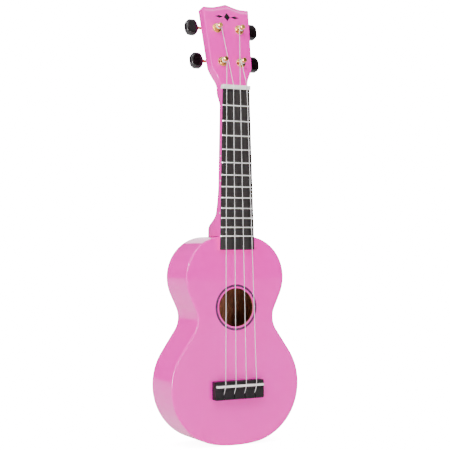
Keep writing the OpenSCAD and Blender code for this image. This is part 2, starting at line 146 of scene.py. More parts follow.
class Nodes:
    """Short names for building one material's node tree."""

    def __init__(self, name):
        self.material = bpy.data.materials.new(name)
        self.material.use_nodes = True
        self.tree = self.material.node_tree
        self.shader = self.tree.nodes["Principled BSDF"]
        self.coords = self.tree.nodes.new("ShaderNodeTexCoord").outputs["Object"]

    def new(self, kind, **values):
        node = self.tree.nodes.new("ShaderNode" + kind)
        for key, value in values.items():
            if key in node.inputs:
                node.inputs[key].default_value = value
            else:
                setattr(node, key, value)
        return node

    def link(self, out, into):
        self.tree.links.new(out, into)

    def stretched(self, scale):
        mapping = self.new("Mapping")
        mapping.inputs["Scale"].default_value = scale
        self.link(self.coords, mapping.inputs["Vector"])
        return mapping.outputs["Vector"]

    def noise(self, scale, detail=4.0, stretch=(1, 1, 1), rough=0.5, distortion=0.0):
        node = self.new("TexNoise", Scale=scale, Detail=detail, Roughness=rough, Distortion=distortion)
        self.link(self.stretched(stretch), node.inputs["Vector"])
        return node.outputs["Fac"]

    def ramp(self, source, stops):
        node = self.new("ValToRGB")
        points = node.color_ramp.elements
        while len(points) < len(stops):
            points.new(0.5)
        for point, (place, colour) in zip(points, stops):
            point.position = place
            point.color = (*colour, 1)
        self.link(source, node.inputs["Fac"])
        return node.outputs["Color"]

    def span(self, source, low, high):
        node = self.new("MapRange")
        node.inputs["To Min"].default_value = low
        node.inputs["To Max"].default_value = high
        self.link(source, node.inputs["Value"])
        return node.outputs["Result"]

    def bump(self, source, strength, distance, under=None):
        node = self.new("Bump", Strength=strength, Distance=distance)
        self.link(source, node.inputs["Height"])
        if under:
            self.link(under, node.inputs["Normal"])
        return node.outputs["Normal"]

    def set(self, **values):
        names = {"coat": "Coat Weight", "coat_rough": "Coat Roughness", "rough": "Roughness",
                 "metal": "Metallic", "colour": "Base Color", "normal": "Normal",
                 "coat_normal": "Coat Normal", "ior": "IOR", "through": "Transmission Weight",
                 "under": "Subsurface Weight", "specular": "Specular IOR Level"}
        for key, value in values.items():
            socket = self.shader.inputs[names[key]]
            if isinstance(value, bpy.types.NodeSocket):
                self.link(value, socket)
            elif key == "colour":
                socket.default_value = (*value, 1)
            else:
                socket.default_value = value
        return self.material


def lacquer():
    """High-gloss pink lacquer over wood, with faint depth and orange peel."""
    m = Nodes("pink_lacquer")
    cloud = m.noise(14.0, 3.0)
    tint = m.ramp(cloud, [(0.3, (1.0, 0.002, 0.49)), (0.7, (1.0, 0.008, 0.52))])
    peel = m.noise(90.0, 2.0)
    return m.set(colour=tint, rough=m.span(m.noise(30.0), 0.28, 0.36), coat=1.0, coat_rough=0.03,
                 specular=0.0, normal=m.bump(peel, 0.02, 0.0004), coat_normal=m.bump(peel, 0.012, 0.0004))


def grain_wood(name, dark, light, scale, rough, specular=0.5, along=(1, 1, 0.05)):
    m = Nodes(name)
    rings = m.noise(scale, 6.0, along, 0.6, 0.4)
    pores = m.noise(scale * 9, 2.0, (along[0], along[1], along[2] * 0.7))
    colour = m.ramp(rings, [(0.32, dark), (0.68, light)])
    bump = m.bump(pores, 0.25, 0.0003, m.bump(rings, 0.15, 0.0004))
    return m.set(colour=colour, rough=m.span(pores, rough - 0.08, rough + 0.1), specular=specular,
                 normal=bump)


def gold_metal():
    m = Nodes("gold_plate")
    wear = m.noise(600.0, 4.0)
    tint = m.ramp(wear, [(0.35, (0.62, 0.36, 0.08)), (0.65, (0.86, 0.56, 0.18))])
    return m.set(colour=tint, metal=1.0, rough=m.span(wear, 0.1, 0.2),
                 normal=m.bump(m.noise(900.0), 0.05, 0.0001))


def fret_metal():
    m = Nodes("nickel_silver")
    lines = m.noise(900.0, 3.0, (0.06, 1, 1))
    tint = m.ramp(lines, [(0.3, (0.85, 0.85, 0.83)), (0.7, (0.95, 0.95, 0.94))])
    return m.set(colour=tint, metal=1.0, rough=m.span(lines, 0.34, 0.46))


def plastic(name, dark, light, rough, coat=0.0, specular=0.5, grain=250.0, bump=0.04):
    m = Nodes(name)
    mottle = m.noise(grain, 3.0)
    return m.set(colour=m.ramp(mottle, [(0.3, dark), (0.7, light)]),
                 rough=m.span(m.noise(grain * 3), rough - 0.03, rough + 0.05), coat=coat,
                 coat_rough=0.05, specular=specular, normal=m.bump(m.noise(grain * 2), bump, 0.0001))


PAINT = lacquer()
BARE = grain_wood("bare_mahogany", (0.27, 0.085, 0.04), (0.64, 0.27, 0.15), 60.0, 0.6, 0.15)
BOARD = grain_wood("dark_rosewood", (0.01, 0.008, 0.008), (0.036, 0.03, 0.03), 110.0, 0.42, 0.2)
BRIDGE = grain_wood("black_bridge_wood", (0.006, 0.005, 0.006), (0.022, 0.018, 0.02), 90.0, 0.35,
                    0.12, (0.05, 1, 1))
BONE = plastic("white_nut", (0.8, 0.8, 0.77), (0.9, 0.9, 0.88), 0.25)
NYLON = plastic("clear_nylon", (0.84, 0.83, 0.83), (0.96, 0.95, 0.95), 0.22)
DOTS = plastic("dot_plastic", (0.75, 0.72, 0.7), (0.85, 0.82, 0.8), 0.25)
BLACK = plastic("black_gloss", (0.004, 0.002, 0.003), (0.009, 0.004, 0.006), 0.12, 1.0, 0.0)
INK = plastic("black_ornament", (0.004, 0.003, 0.004), (0.012, 0.01, 0.012), 0.3, 0.0, 0.1)
RING = plastic("rosette_purple", (0.05, 0.004, 0.04), (0.1, 0.008, 0.08), 0.25, 1.0, 0.0)
GOLD = gold_metal()
FRET = fret_metal()


# ---------- Mesh helpers ----------

def new_piece(name, verts, faces, materials, body, replaces=(), smooth=35.0, face_slots=None):
    """A mesh piece from vertices in millimetres. It is smooth, apart from edges sharper than smooth."""
    mesh = bpy.data.meshes.new(name)
    mesh.from_pydata([Vector(v) * MM for v in verts], [], faces)
    for material in materials:
        mesh.materials.append(material)
    if face_slots:
        for face, index in zip(mesh.polygons, face_slots):
            face.material_index = index
    return add_piece(name, mesh, body, replaces, smooth)


def add_piece(name, mesh, body, replaces=(), smooth=35.0):
    bm = bmesh.new()
    bm.from_mesh(mesh)
    bmesh.ops.recalc_face_normals(bm, faces=bm.faces)
    bm.to_mesh(mesh)
    bm.free()
    mesh.shade_smooth()
    mesh.set_sharp_from_angle(angle=math.radians(smooth))
    obj = bpy.data.objects.new(name, mesh)
    bpy.context.scene.collection.objects.link(obj)
    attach(obj, body)
    if replaces:
        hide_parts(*replaces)
    return obj


def soften(obj, width, segments=3, angle=40.0):
    """Rounds the piece's edges, with normals that keep its flat faces flat."""
    bevel = obj.modifiers.new("edges", "BEVEL")
    bevel.width = width * MM
    bevel.segments = segments
    bevel.limit_method = "ANGLE"
    bevel.angle_limit = math.radians(angle)
    bevel.harden_normals = True
    weighted = obj.modifiers.new("normals", "WEIGHTED_NORMAL")
    weighted.keep_sharp = True
    return obj


def ring_faces(rings, closed_around=True, closed_along=False):
    """Quads between neighbouring rings of equal length, as index lists."""
    n = len(rings[0])
    faces = []
    last = len(rings) if closed_along else len(rings) - 1
    for k in range(last):
        a, b = k * n, (k + 1) % len(rings) * n
        for i in range(n if closed_around else n - 1):
            j = (i + 1) % n
            faces.append((a + i, a + j, b + j, b + i))
    return faces


def joined(rings):
    """All the points of the rings, one ring after another."""
    return [point for ring in rings for point in ring]


def polished_copy(node, material, body, width=0.25, segments=2, smooth=30.0):
    """Stands for a CAD node: the same shape with clean facets, rounded edges and its own material."""
    mesh = nodes[node].data.copy()
    mesh.materials.clear()
    mesh.materials.append(material)
    bm = bmesh.new()
    bm.from_mesh(mesh)
    bmesh.ops.remove_doubles(bm, verts=bm.verts, dist=2e-6)
    bmesh.ops.dissolve_limit(bm, angle_limit=math.radians(0.5), verts=bm.verts, edges=bm.edges)
    bm.to_mesh(mesh)
    bm.free()
    for face in mesh.polygons:
        face.material_index = 0
    obj = add_piece(node + "_finished", mesh, body, (node,), smooth)
    if width:
        soften(obj, width, segments)
    return obj


# ---------- Body ----------

def polar(centre, radius, angle):
    a = math.radians(angle)
    return (centre[0] + radius * math.cos(a), centre[1] + radius * math.sin(a))


def arc_points(centre, radius, a0, a1, step=3.0):
    count = max(2, round(abs(a1 - a0) / step))
    return [polar(centre, radius, a0 + (a1 - a0) * i / count) for i in range(count + 1)]


def half_outline(inset):
    """Right half of the body's outline, from the tail up to the neck, moved inwards by inset."""
    low = (LOWER_HALF - LOWER_R, LOWER_Z)
    up = (UPPER_HALF - UPPER_R, UPPER_Z)
    waist = (WAIST_HALF + WAIST_R, WAIST_Z)
    drop = TAIL_Z - LOWER_Z
    tail_r = (LOWER_R ** 2 - drop ** 2 - low[0] ** 2) / (2 * (drop + LOWER_R))
    tail_c = (0, TAIL_Z + tail_r)
    tail_a = math.degrees(math.atan2(low[1] - tail_c[1], low[0]))

    def tangent(c, r, turn):
        dx, dz = waist[0] - c[0], waist[1] - c[1]
        return math.degrees(math.atan2(dz, dx) + turn * math.acos((r + WAIST_R) / math.hypot(dx, dz)))

    low_a, up_a = tangent(low, LOWER_R, -1), tangent(up, UPPER_R, 1)
    points = arc_points(tail_c, tail_r - inset, -90, tail_a, 1.5)[:-1]
    points += arc_points(low, LOWER_R - inset, tail_a, 0)[:-1] + arc_points(low, LOWER_R - inset, 0, low_a)
    arc_start = polar(waist, WAIST_R + inset, low_a + 180)
    points += even_run(points[-1], arc_start, 3) + [arc_start]
    points += arc_points(waist, WAIST_R + inset, low_a + 180, 180)[1:]
    points += arc_points(waist, WAIST_R + inset, 180, up_a + 180)[1:]
    points += even_run(points[-1], polar(up, UPPER_R - inset, up_a), 2)
    points += arc_points(up, UPPER_R - inset, up_a, 0)[:-1] + arc_points(up, UPPER_R - inset, 0, 90)
    points += even_run(points[-1], (0, TOP_Z - inset), 3) + [(0, TOP_Z - inset)]
    return points


def even_run(a, b, count):
    """Points strictly between a and b."""
    return [(a[0] + (b[0] - a[0]) * i / (count + 1), a[1] + (b[1] - a[1]) * i / (count + 1))
            for i in range(1, count + 1)]


def full_outline(inset):
    half = half_outline(inset)
    return half + [(-x, z) for x, z in reversed(half[1:-1])]


def quarter(radius, steps=5):
    """(inset, depth) along a rounded edge, from the flat face to the side."""
    angles = [math.radians(90 * i / steps) for i in range(steps + 1)]
    return [(radius * (1 - math.sin(a)), radius * (1 - math.cos(a))) for a in angles]


def mixed(outer, inner, part):
    return [(a[0] + (b[0] - a[0]) * part, a[1] + (b[1] - a[1]) * part) for a, b in zip(outer, inner)]


def hole_ring(radius):
    """A circle round the sound hole, with each point straight inwards from the outline's own."""
    ring = []
    for x, z in full_outline(EDGE_R):
        length = math.hypot(x, z - HOLE_Z)
        ring.append((x * radius / length, HOLE_Z + (z - HOLE_Z) * radius / length))
    return ring


def soundboard():
    flat_outer, flat_inner = full_outline(FLAT_INSET), hole_ring(HOLE_R + HOLE_RIM + 0.3)
    rings = [(hole_ring(HOLE_R), PLATE_T), (hole_ring(HOLE_R), HOLE_RIM)]
    rings += [(hole_ring(HOLE_R + HOLE_RIM - e), d) for e, d in reversed(quarter(HOLE_RIM, 3))]
    rings += [(mixed(flat_outer, flat_inner, 1 - part), 0.0) for part in (0, 0.25, 0.5, 0.75, 1)]
    rings += [(full_outline(e), d) for e, d in quarter(EDGE_R)]
    rings += [(full_outline(0), PLATE_T), (full_outline(GLUE_W), PLATE_T)]
    verts = [(x, y, z) for ring, y in rings for x, z in ring]
    faces = ring_faces([r for r, _ in rings], closed_along=True)
    n = len(rings[0][0])
    per_ring = [1] + [0] * (len(rings) - 3) + [0, 1]
    slots = [per_ring[k] for k in range(len(rings)) for _ in range(n)]
    new_piece("painted_soundboard", verts, faces, [PAINT, BARE], "instrument", ("soundboard",),
              50.0, slots)


def back_plate():
    rings = [(full_outline(GLUE_W), BACK_Y), (full_outline(0), BACK_Y)]
    rings += [(full_outline(e), BODY_Y - d) for e, d in reversed(quarter(EDGE_R))]
    rings += [(full_outline(FLAT_INSET), BODY_Y)]
    n = len(rings[0][0])
    verts = [(x, y, z) for ring, y in rings for x, z in ring]
    faces = ring_faces([r for r, _ in rings])
    slots = [0] * len(faces) + [1, 0]
    slots[:n] = [1] * n
    faces.append(tuple(range(n)))
    faces.append(tuple(range(len(verts) - n, len(verts))))
    new_piece("painted_back", verts, faces, [PAINT, BARE], "instrument", ("back",),
              50.0, slots)


def side(name, sign):
    """One bent side: a strip that follows its half of the outline."""
    depths = [PLATE_T + (BACK_Y - PLATE_T) * i / 4 for i in range(5)]
    profile = [(0, y) for y in depths] + [(SIDE_T, y) for y in reversed(depths)]
    rings = [[(sign * x, y, z) for x, z in half_outline(inset)] for inset, y in profile]
    columns = list(zip(*rings))
    verts = joined(columns)
    faces = ring_faces(columns)
    m = len(profile)
    slots = [0 if i % m < len(depths) - 1 else 1 for i in range(len(faces))]
    faces += [tuple(range(m)), tuple(range(len(verts) - m, len(verts)))]
    slots += [1, 1]
    new_piece("painted_" + name, verts, faces, [PAINT, BARE], "instrument", (name,),
              50.0, slots)


def rosette():
    """A flat ring with rounded edges, round the sound hole."""
    outer = box_mm("rosette")[1].x
    inner = outer - ROSETTE_W
    profile = [(inner, 0), (inner + 0.1, ROSETTE_H), (outer - 0.1, ROSETTE_H), (outer, 0)]
    count = 128
    rings = [[(r * math.cos(math.tau * i / count), -h, HOLE_Z + r * math.sin(math.tau * i / count))
              for i in range(count)] for r, h in profile]
    new_piece("rosette_ring", joined(rings), ring_faces(rings, closed_along=True), [RING], "instrument",
              ("rosette",), 50.0)


# ---------- Neck and headstock ----------

def board_half(z):
    return NUT_HALF + (BOARD_END_HALF - NUT_HALF) * z / BOARD_END


def fret_z(n):
    return -SCALE_LEN * (1 - 2 ** (-n / 12))


def clamp(u):
    return min(1.0, max(0.0, u))


def smoothstep(u):
    u = clamp(u)
    return u * u * (3 - 2 * u)


def neck_depth(z):
    shaft = SHAFT_DEPTH + SHAFT_SWELL * clamp(z / HEEL_START)
    swell = clamp((HEEL_START - z) / HEEL_SWELL_LEN) ** 1.5
    turn = smoothstep((HEEL_TURN - z) / HEEL_TURN_LEN)
    return shaft + (BODY_Y - 1 - shaft) * (HEEL_SWELL * swell + (1 - HEEL_SWELL) * turn)


def head_half(s):
    rise = (SHOULDER_HALF - NUT_HALF) * smoothstep((s - 1) / SHOULDER_LEN)
    flare = (CORNER_HALF - SHOULDER_HALF) * max(0.0, s - SHOULDER_AT) / (HEAD_LEN - SHOULDER_AT)
    return NUT_HALF + rise + flare


def head_top(x):
    return HEAD_LEN + PEAK_H * (1 - min(1.0, abs(x) / PEAK_HALF)) ** PEAK_POWER


def section(half, depth, power, front_r, square):
    """One closed cross-section as (x, depth) pairs: a flat front, and a back that goes from a
    round shaft's, at square 0, to a rounded slab's, at square 1."""
    back_r = 1.6
    front = [(-(half - front_r) + 2 * (half - front_r) * i / FRONT_RUNS, 0.0) for i in range(FRONT_RUNS + 1)]

    def corner(cx, cd, radius, a0):
        angles = [math.radians(a0 + 90 * i / CORNER_STEPS) for i in range(1, CORNER_STEPS + 1)]
        return [(cx + radius * math.sin(a), cd - radius * math.cos(a)) for a in angles]

    right = corner(half - front_r, front_r, front_r, 0)
    right += [(half, front_r + (depth - front_r - back_r) * i / CORNER_STEPS) for i in range(1, CORNER_STEPS)]
    right += [(half, depth - back_r)] + corner(half - back_r, depth - back_r, back_r, 90)
    back = [((half - back_r) * (1 - 2 * i / FRONT_RUNS), depth) for i in range(1, FRONT_RUNS)]
    left = [(-x, d) for x, d in reversed(right)]
    slab = right + back + left
    n = len(slab)
    for i, (x, d) in enumerate(slab):
        t = math.pi * (i + 0.5) / n
        round_x = half * math.copysign(abs(math.cos(t)) ** (2 / power), math.cos(t))
        round_d = depth * math.sin(t) ** (2 / power)
        slab[i] = (round_x + (x - round_x) * square, round_d + (d - round_d) * square)
    return front + slab


def neck_ring(u, inset=0.0, lift=0.0):
    """The section whose front edge is at u: a height on the neck, and past FACE_Z a place on the head.
    It is shrunk by inset and moved up the head by lift."""
    s = u - FACE_Z
    lean = TILT * smoothstep((u + 16) / 26)
    square = smoothstep((u + SLAB_FADE) / SLAB_FADE)
    if s <= 0:
        origin = Vector((0, 0, u))
        half, depth = board_half(min(u, 0.0)), neck_depth(u)
    else:
        origin = Vector((0, FACE_Y + s * math.sin(TILT), FACE_Z + s * math.cos(TILT)))
        half = head_half(min(s, HEAD_LEN))
        depth = SHAFT_DEPTH + (HEAD_T - SHAFT_DEPTH) * smoothstep(s / 15)
    points = section(half, depth, NECK_POWER, 0.05 + 1.45 * smoothstep(s / 14), square)
    into = Vector((0, math.cos(lean), -math.sin(lean)))
    along = Vector((0, math.sin(TILT), math.cos(TILT)))
    rise = smoothstep((s - PEAK_START) / (HEAD_LEN - PEAK_START))
    ring = []
    for x, d in points:
        x_in = x * (half - inset) / half
        d_in = inset + d * (depth - 2 * inset) / depth
        shift = (head_top(x) - HEAD_LEN) * rise + lift
        ring.append(origin + Vector((x_in, 0, 0)) + into * d_in + along * shift)
    return ring


def neck_and_headstock():
    """Rings from the heel up to the headstock's tip, close together where the shape turns."""
    top = FACE_Z + HEAD_LEN
    heights = [TOP_Z + 1.5 * i for i in range(42)]
    heights += [heights[-1] + (0 - heights[-1]) * i / 30 for i in range(1, 31)]
    heights += [1.6 * i for i in range(1, 20)]
    heights += [heights[-1] + (top - HEAD_TIP_R - heights[-1]) * i / 16 for i in range(1, 17)]
    rings = [neck_ring(u) for u in heights]
    rings += [neck_ring(top, inset, -drop) for drop, inset in reversed(quarter(HEAD_TIP_R)[:-1])]
    n = len(rings[0])
    verts = joined(rings)
    faces = ring_faces(rings)
    # The tip: quads across its thickness, and one face at each corner
    base = len(verts) - n
    right_end = base + FRONT_RUNS
    back_right = right_end + SIDE_POINTS
    back_left = back_right + FRONT_RUNS
    faces += [(base + i, base + i + 1, back_left - i - 1, back_left - i) for i in range(FRONT_RUNS)]
    faces.append(tuple(range(right_end, back_right + 1)))
    faces.append((base, *range(len(verts) - 1, back_left - 1, -1)))
    faces.append(tuple(range(n)))
    new_piece("lacquered_neck", verts, faces, [PAINT], "instrument", ("neck", "headstock"),
              40.0)


def plank(name, outline, y0, y1, materials, replaces, width, segments=3):
    """An outline drawn in X and Z, run from y0 back to y1, with rounded edges."""
    n = len(outline)
    verts = [(x, y, z) for y in (y0, y1) for x, z in outline]
    faces = [tuple(range(n)), tuple(range(n, 2 * n))]
    faces += [(i, (i + 1) % n, n + (i + 1) % n, n + i) for i in range(n)]
    obj = new_piece(name, verts, faces, materials, "instrument", replaces)
    return soften(obj, width, segments)


def fingerboard():
    """The dark board, and the lacquer that covers its two sides and its end."""
    wide, end = NUT_HALF - FILM, BOARD_END_HALF - FILM
    plank("fingerboard_wood", [(-wide, 0), (wide, 0), (end, BOARD_END + FILM), (-end, BOARD_END + FILM)],
          -BOARD_T, 0, [BOARD], ("fingerboard",), 0.3)
    top = -BOARD_T + 0.35
    path = [((wide, 0), (NUT_HALF, 0)), ((end, BOARD_END + FILM), (BOARD_END_HALF, BOARD_END)),
            ((-end, BOARD_END + FILM), (-BOARD_END_HALF, BOARD_END)), ((-wide, 0), (-NUT_HALF, 0))]
    rings = [[(inner[0], top, inner[1]), (outer[0], top, outer[1]), (outer[0], 0, outer[1]),
              (inner[0], 0, inner[1])] for inner, outer in path]
    faces = ring_faces(rings) + [(0, 1, 2, 3), (12, 13, 14, 15)]
    new_piece("fingerboard_lacquer", joined(rings), faces, [PAINT], "instrument", (), 30.0)


def frets():
    """Twelve crowned wires with sloping ends, joined as one piece."""
    crown = [(1.0, 0.0), (0.96, 0.35), (0.78, 0.68), (0.45, 0.9), (0.0, 1.0), (-0.45, 0.9), (-0.78, 0.68),
             (-0.96, 0.35), (-1.0, 0.0)]
    high = FRET_TOP - BOARD_T
    m = len(crown)
    verts, faces = [], []
    for n in range(1, FRET_COUNT + 1):
        z = fret_z(n)
        half = board_half(z) - FRET_END_GAP
        flat_half = half - FRET_SLOPE_LEN
        start = len(verts)
        rings = [[(x + slope * h, -BOARD_T - high * lift * h, z + FRET_HALF_W * w) for w, h in crown]
                 for x, slope, lift in ((-half, 0.5, 0.93), (-flat_half, 0, 0.999), (flat_half, 0, 0.999),
                                        (half, -0.5, 0.93))]
        verts += joined(rings)
        faces += [tuple(start + i for i in face) for face in ring_faces(rings)]
        faces += [tuple(range(start, start + m)), tuple(range(start + 3 * m, start + 4 * m))]
    new_piece("fret_wires", verts, faces, [FRET], "instrument", ("frets",), 40.0)


def string_x(i, gap):
    return (i - 2.5) * gap


def notched_bar(name, half, low, high, z0, z1, notches, notch_r, depth, material, node, width, crown):
    """A bar across the instrument whose top edge has round notches; its outline is in X and Y."""
    outline = [(-half, low), (half, low), (half, high)]
    for x in sorted(notches, reverse=True):
        outline += [(x + notch_r * math.cos(math.radians(a)),
                     high + crown(x) - depth - notch_r * math.sin(math.radians(a)) + notch_r)
                    for a in (-20, 20, 55, 90, 125, 160, 200)]
    outline.append((-half, high))
    n = len(outline)
    verts = [(x, -y, z) for z in (z0, z1) for x, y in outline]
    faces = [tuple(range(n)), tuple(range(n, 2 * n))]
    faces += [(i, (i + 1) % n, n + (i + 1) % n, n + i) for i in range(n)]
    obj = new_piece(name, verts, faces, [material], "instrument", (node,))
    return soften(obj, width, 3, 50.0)


def nut():
    depth = NUT_H - (NUT_ACTION - STRING_R)
    notched_bar("nut_white", NUT_HALF, 0, NUT_H, 0, NUT_LEN, [string_x(i, NUT_GAP) for i in TUNERS],
                0.5, depth, BONE, "nut", 0.35, lambda x: 0.0)


def saddle():
    low, high = box_mm("saddle")
    plank("saddle_white", [(low.x, low.z), (high.x, low.z), (high.x, high.z), (low.x, high.z)],
          low.y, high.y, [BONE], ("saddle",), 0.6, 4)


# ---------- Strings ----------

def on_face(x, s, d):
    """The point at x across the headstock, s along it and d behind its face."""
    return Vector((x, FACE_Y + s * math.sin(TILT) + d * math.cos(TILT),
                   FACE_Z + s * math.cos(TILT) - d * math.sin(TILT)))


# Where the strings leave the nut, in the headstock's frame
NUT_S = (-NUT_ACTION - FACE_Y) * math.sin(TILT) + (NUT_LEN - FACE_Z) * math.cos(TILT)
NUT_D = (-NUT_ACTION - FACE_Y) * math.cos(TILT) - (NUT_LEN - FACE_Z) * math.sin(TILT)


def touch_angle(i):
    """Angle on the post, in the headstock's X and s, at which string i meets its windings."""
    x, s = POST[i]
    dx, ds = string_x(i, NUT_GAP) - x, NUT_S - s
    turn = 1 if x < 0 else -1
    return math.atan2(ds, dx) + turn * math.acos(WRAP_R / math.hypot(dx, ds))


def tube_curve(name, points, radius, material, body, replaces, bevel=4):
    data = bpy.data.curves.new(name, "CURVE")
    data.dimensions = "3D"
    data.bevel_depth = radius * MM
    data.bevel_resolution = bevel
    data.use_fill_caps = True
    spline = data.splines.new("POLY")
    spline.points.add(len(points) - 1)
    for point, co in zip(spline.points, points):
        point.co = (*(Vector(co) * MM), 1)
    spline.use_smooth = True
    data.materials.append(material)
    obj = bpy.data.objects.new(name, data)
    bpy.context.scene.collection.objects.link(obj)
    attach(obj, body)
    if replaces:
        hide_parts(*replaces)
    return obj


def bend(a, b, c, radius=STRING_BEND, steps=6):
    """Points of a rounded corner at b, between a and c."""
    a, b, c = Vector(a), Vector(b), Vector(c)
    first, second = b + (a - b).normalized() * radius, b + (c - b).normalized() * radius
    points = []
    for k in range(steps + 1):
        t = k / steps
        points.append(first * (1 - t) ** 2 + b * 2 * t * (1 - t) + second * t ** 2)
    return points


def string(i):
    xs, xn = string_x(i, SADDLE_GAP), string_x(i, NUT_GAP)
    x, s = POST[i]
    angle = touch_angle(i)
    knot = (xs, KNOT_Y, BRIDGE_LOW + KNOT_UP)
    rise = (xs, *STRING_RISE)
    saddle_top = (xs, -SADDLE_ACTION, SADDLE_Z)
    nut_edge = (xn, -NUT_ACTION, NUT_LEN)
    touch = on_face(x + WRAP_R * math.cos(angle), s + WRAP_R * math.sin(angle), NUT_D)
    route = [knot] + bend(knot, rise, saddle_top) + bend(rise, saddle_top, nut_edge)
    route += bend(saddle_top, nut_edge, touch)
    route += [Vector(nut_edge).lerp(touch, t) for t in (0.33, 0.66)] + [touch]
    tube_curve(f"nylon_string_{i}", route, STRING_R, NYLON, "instrument", (f"string_{i}",))
    knot_coil(i, Vector(knot))


def knot_coil(i, centre):
    """The knot that holds the string's end in the bridge: two tight turns and a short tail."""
    steps, turns, radius = 32, 2, 0.75
    points = []
    for k in range(steps + 1):
        a = math.tau * turns * k / steps
        points.append(centre + Vector((radius * math.cos(a), radius * math.sin(a), -0.7 + 1.1 * k / steps)))
    points.append(points[-1] + Vector((-0.2, 0.1, -0.6)))
    tube_curve(f"string_knot_{i}", points, 0.36, NYLON, "instrument", (), 3)


def winding(i):
    """Three turns round the post, from where the string arrives to the post's cross hole."""
    x, s = POST[i]
    start = touch_angle(i)
    turn = -1 if x < 0 else 1
    steps = 24
    points = []
    for k in range(int(WRAP_TURNS * steps) + 1):
        a = start - turn * math.tau * k / steps
        depth = NUT_D + WRAP_PITCH * k / steps - 0.5 * smoothstep(k / steps)
        points.append(on_face(x + WRAP_R * math.cos(a), s + WRAP_R * math.sin(a), depth))
    tube_curve(f"string_winding_{i}", points, STRING_R, NYLON, f"tuner_{i}_spindle", (f"string_wrap_{i}",),
               3)


# ---------- Tuning machines ----------

def turned(i, profile, count=64):
    """Rings about post i from (radius, depth) pairs."""
    x, s = POST[i]
    rings = []
    for radius, depth in profile:
        rings.append([on_face(x + radius * math.cos(math.tau * k / count),
                              s + radius * math.sin(math.tau * k / count), depth) for k in range(count)])
    return rings


def bushing(i):
    """A round washer, and on it a six-sided nut with a chamfered top."""
    washer_top = -0.75
    washer = [(BUSHING_BORE, washer_top), (5.45, washer_top), (5.8, -0.45), (5.8, 0.0), (BUSHING_SLEEVE, 0.0),
              (BUSHING_SLEEVE, BUSHING_LEN), (BUSHING_BORE, BUSHING_LEN)]
    rings = turned(i, washer)
    new_piece(f"bushing_washer_{i}", joined(rings), ring_faces(rings, closed_along=True), [GOLD],
              "instrument", (f"tuner_{i}_bushing",), 25.0)
    x, s = POST[i]
    count = 72
    # Radius, depth and how six-sided the ring is
    levels = [(BUSHING_BORE, washer_top, 0), (5.3, washer_top, 1), (5.3, -1.9, 1), (4.75, -2.35, 0.35),
              (3.5, -2.4, 0), (BUSHING_BORE, -2.4, 0)]
    rings = []
    for radius, depth, hexed in levels:
        ring = []
        for k in range(count):
            a = math.tau * k / count
            local = (a + 0.3 * i) % (math.tau / 6) - math.tau / 12
            flat = radius * math.cos(math.tau / 12) / math.cos(local)
            r = radius + (min(radius, flat) - radius) * hexed
            ring.append(on_face(x + r * math.cos(a), s + r * math.sin(a), depth))
        rings.append(ring)
    new_piece(f"bushing_nut_{i}", joined(rings), ring_faces(rings, closed_along=True), [GOLD],
              "instrument", (), 25.0)


def button(i):
    """A black octagonal button with well-rounded edges, and the gold collar on its shaft."""
    low, high = box_mm(f"tuner_{i}_button")
    sign = math.copysign(1, POST[i][0])
    x_in, x_out = (low.x, high.x) if sign > 0 else (high.x, low.x)
    centre_s = POST[i][1] + WORM_AHEAD
    half_h = BUTTON_HALF_H
    out_h = half_h - BUTTON_CORNER
    in_h = out_h - 1
    outline = [(x_in + sign * 3, -half_h), (x_out - sign * 3.5, -half_h), (x_out, -out_h), (x_out, out_h),
               (x_out - sign * 3.5, half_h), (x_in + sign * 3, half_h), (x_in, in_h), (x_in, -in_h)]
    verts = [on_face(x, centre_s + h, WORM_DEPTH + d)
             for d in (-BUTTON_HALF_T, BUTTON_HALF_T) for x, h in outline]
    faces = [tuple(range(8)), tuple(range(8, 16))]
    faces += [(k, (k + 1) % 8, 8 + (k + 1) % 8, 8 + k) for k in range(8)]
    obj = new_piece(f"button_black_{i}", verts, faces, [BLACK], f"tuner_{i}_shaft", (f"tuner_{i}_button",))
    soften(obj, BUTTON_ROUND, 6, 20.0)
    collar(i, x_in, sign, centre_s)


def collar(i, x_in, sign, centre_s):
    """Where the shaft goes into the button."""
    profile = [(1.7, 0.0), (2.5, 0.05), (2.7, 0.35), (2.7, 1.0), (2.3, 1.35), (1.7, 1.5)]
    count = 32
    rings = [[on_face(x_in - sign * along, centre_s + r * math.cos(math.tau * k / count),
                      WORM_DEPTH + r * math.sin(math.tau * k / count)) for k in range(count)]
             for r, along in profile]
    new_piece(f"button_collar_{i}", joined(rings), ring_faces(rings, closed_along=True), [GOLD],
              f"tuner_{i}_shaft", (), 25.0)


def tuners():
    for i in TUNERS:
        bushing(i)
        button(i)
        winding(i)
        string(i)
        polished_copy(f"tuner_{i}_plate", GOLD, "instrument", 0.12)
        polished_copy(f"tuner_{i}_worm", GOLD, f"tuner_{i}_shaft", 0.0, smooth=40.0)
        polished_copy(f"tuner_{i}_post", GOLD, f"tuner_{i}_spindle", 0.12)
        polished_copy(f"tuner_{i}_gear", GOLD, f"tuner_{i}_spindle", 0.06)
        polished_copy(f"tuner_{i}_gear_screw", GOLD, f"tuner_{i}_spindle", 0.1)
    polished_copy("tuner_mount_screws", GOLD, "instrument", 0.15)


def small_parts():
    polished_copy("bridge", BRIDGE, "instrument", 0.5, 3)
    polished_copy("headstock_ornament", INK, "instrument", 0.06, 1)
    polished_copy("side_dots", DOTS, "instrument", 0.0)


def inside_wood():
    names = ["neck_block", "tail_block", "soundboard_braces", "back_braces", "bridge_patch"]
    names += [f"{face}_lining_{side_name}" for face in ("front", "back") for side_name in ("left", "right")]
    for name in names:
        polished_copy(name, BARE, "instrument", 0.6, 2, smooth=20.0)


# ---------- Camera, light and floor ----------

CAMERA_AZIMUTH, CAMERA_ELEVATION, CAMERA_ROLL = -26.8, -1.38, -0.44
CAMERA_DISTANCE = 1.2933
CAMERA_TARGET = Vector((-0.0139, 0.0, -0.1594))
CAMERA_LENS = 88.5

